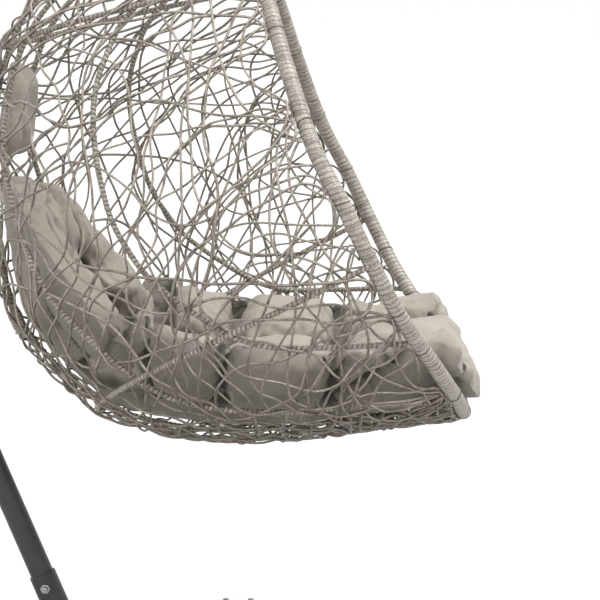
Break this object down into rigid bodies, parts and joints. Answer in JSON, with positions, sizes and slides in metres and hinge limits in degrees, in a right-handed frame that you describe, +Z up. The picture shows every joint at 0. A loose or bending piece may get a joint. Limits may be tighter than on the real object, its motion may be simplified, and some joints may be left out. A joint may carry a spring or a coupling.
{
  "type": "hanging egg chair",
  "caption": "Hanging egg chair: an open woven basket with tufted cushions on a spring and swivel, hung from a curved pole on a ring base.",
  "frame": {"origin": "on the floor, at the middle of the stand's and basket's outline", "axes": "+Z up, +X across the chair to the sitter's left, -Y towards the open front"},
  "size_m": [1.0588, 1.2648, 1.9226],
  "materials": {
    "powder_coat": "satin",
    "zinc_hardware": "satin",
    "wicker_wrap": "matte",
    "wicker_strand": "matte",
    "wrapped_rod": "matte",
    "cushion_fabric": "matte",
    "rubber_plastic": "matte"
  },
  "bodies": {
    "basket": {"rim_tube": "wicker_wrap", "centre_rib": "wrapped_rod", "inner_rib_left": "wrapped_rod", "outer_rib_left": "wrapped_rod", "inner_rib_right": "wrapped_rod", "outer_rib_right": "wrapped_rod", "hoop_upper": "wrapped_rod", "hoop_lower": "wrapped_rod", "weave_upper_left": "wicker_strand", "weave_upper_right": "wicker_strand", "weave_middle_left": "wicker_strand", "weave_middle_right": "wicker_strand", "weave_lower_left": "wicker_strand", "weave_lower_right": "wicker_strand", "seat_cushion": "cushion_fabric", "back_cushion": "cushion_fabric", "head_pillow": "cushion_fabric", "swivel_hook": "zinc_hardware", "basket_ring": "zinc_hardware"},
    "stand": {"base_socket": "powder_coat", "pole_lower": "powder_coat", "pole_sleeve": "powder_coat", "pole_upper": "powder_coat", "socket_bolt": "zinc_hardware", "socket_nut": "zinc_hardware", "sleeve_lower_bolt": "zinc_hardware", "sleeve_lower_nut": "zinc_hardware", "sleeve_upper_bolt": "zinc_hardware", "sleeve_upper_nut": "zinc_hardware", "pole_end_cap": "rubber_plastic", "hanging_eye": "powder_coat", "base_ring_rear": "powder_coat", "base_ring_front": "powder_coat", "ring_coupler_left": "powder_coat", "ring_coupler_right": "powder_coat", "ring_left_front_bolt": "zinc_hardware", "ring_left_rear_bolt": "zinc_hardware", "ring_right_front_bolt": "zinc_hardware", "ring_right_rear_bolt": "zinc_hardware", "base_beam": "powder_coat", "beam_strap_front": "powder_coat", "beam_strap_front_bolt_1": "zinc_hardware", "beam_strap_front_bolt_2": "zinc_hardware", "beam_strap_rear": "powder_coat", "beam_strap_rear_bolt_1": "zinc_hardware", "beam_strap_rear_bolt_2": "zinc_hardware", "socket_gusset_front": "powder_coat", "socket_gusset_rear": "powder_coat", "foot_front_left": "rubber_plastic", "foot_rear_left": "rubber_plastic", "foot_rear_right": "rubber_plastic", "foot_front_right": "rubber_plastic"},
    "carabiner": {"carabiner_body": "zinc_hardware", "gate_pin": "zinc_hardware"},
    "gate": {"carabiner_gate": "zinc_hardware"},
    "spring_top": {"spring_upper_plug": "zinc_hardware", "spring_coil": "zinc_hardware"},
    "spring_bottom": {"spring_lower_plug": "zinc_hardware", "swivel_housing": "zinc_hardware"}
  },
  "joints": [
    {"name": "swing_side", "type": "hinge", "parent": "stand", "child": "carabiner", "pos_m": [0, -0.092, 1.8534], "axis": [0, 1, 0], "range_deg": [-9, 9]},
    {"name": "gate_open", "type": "hinge", "parent": "carabiner", "child": "gate", "pos_m": [0.016, -0.092, 1.8147], "axis": [0, -1, 0], "range_deg": [0, 22], "stiffness_Nm_per_rad": 0.05, "springref_deg": -11.46},
    {"name": "swing_fore_aft", "type": "hinge", "parent": "carabiner", "child": "spring_top", "pos_m": [0, -0.092, 1.7967], "axis": [1, 0, 0], "range_deg": [-10, 6.5]},
    {"name": "bounce", "type": "slide", "parent": "spring_top", "child": "spring_bottom", "axis": [0, 0, 1], "range_m": [-0.045, 0], "stiffness_N_per_m": 18000, "springref_m": 0.03, "deforming": ["spring_coil"]},
    {"name": "swivel", "type": "hinge", "parent": "spring_bottom", "child": "basket", "pos_m": [0, -0.092, 1.6492], "axis": [0, 0, 1], "range_deg": [-60, 60]}
  ]
}
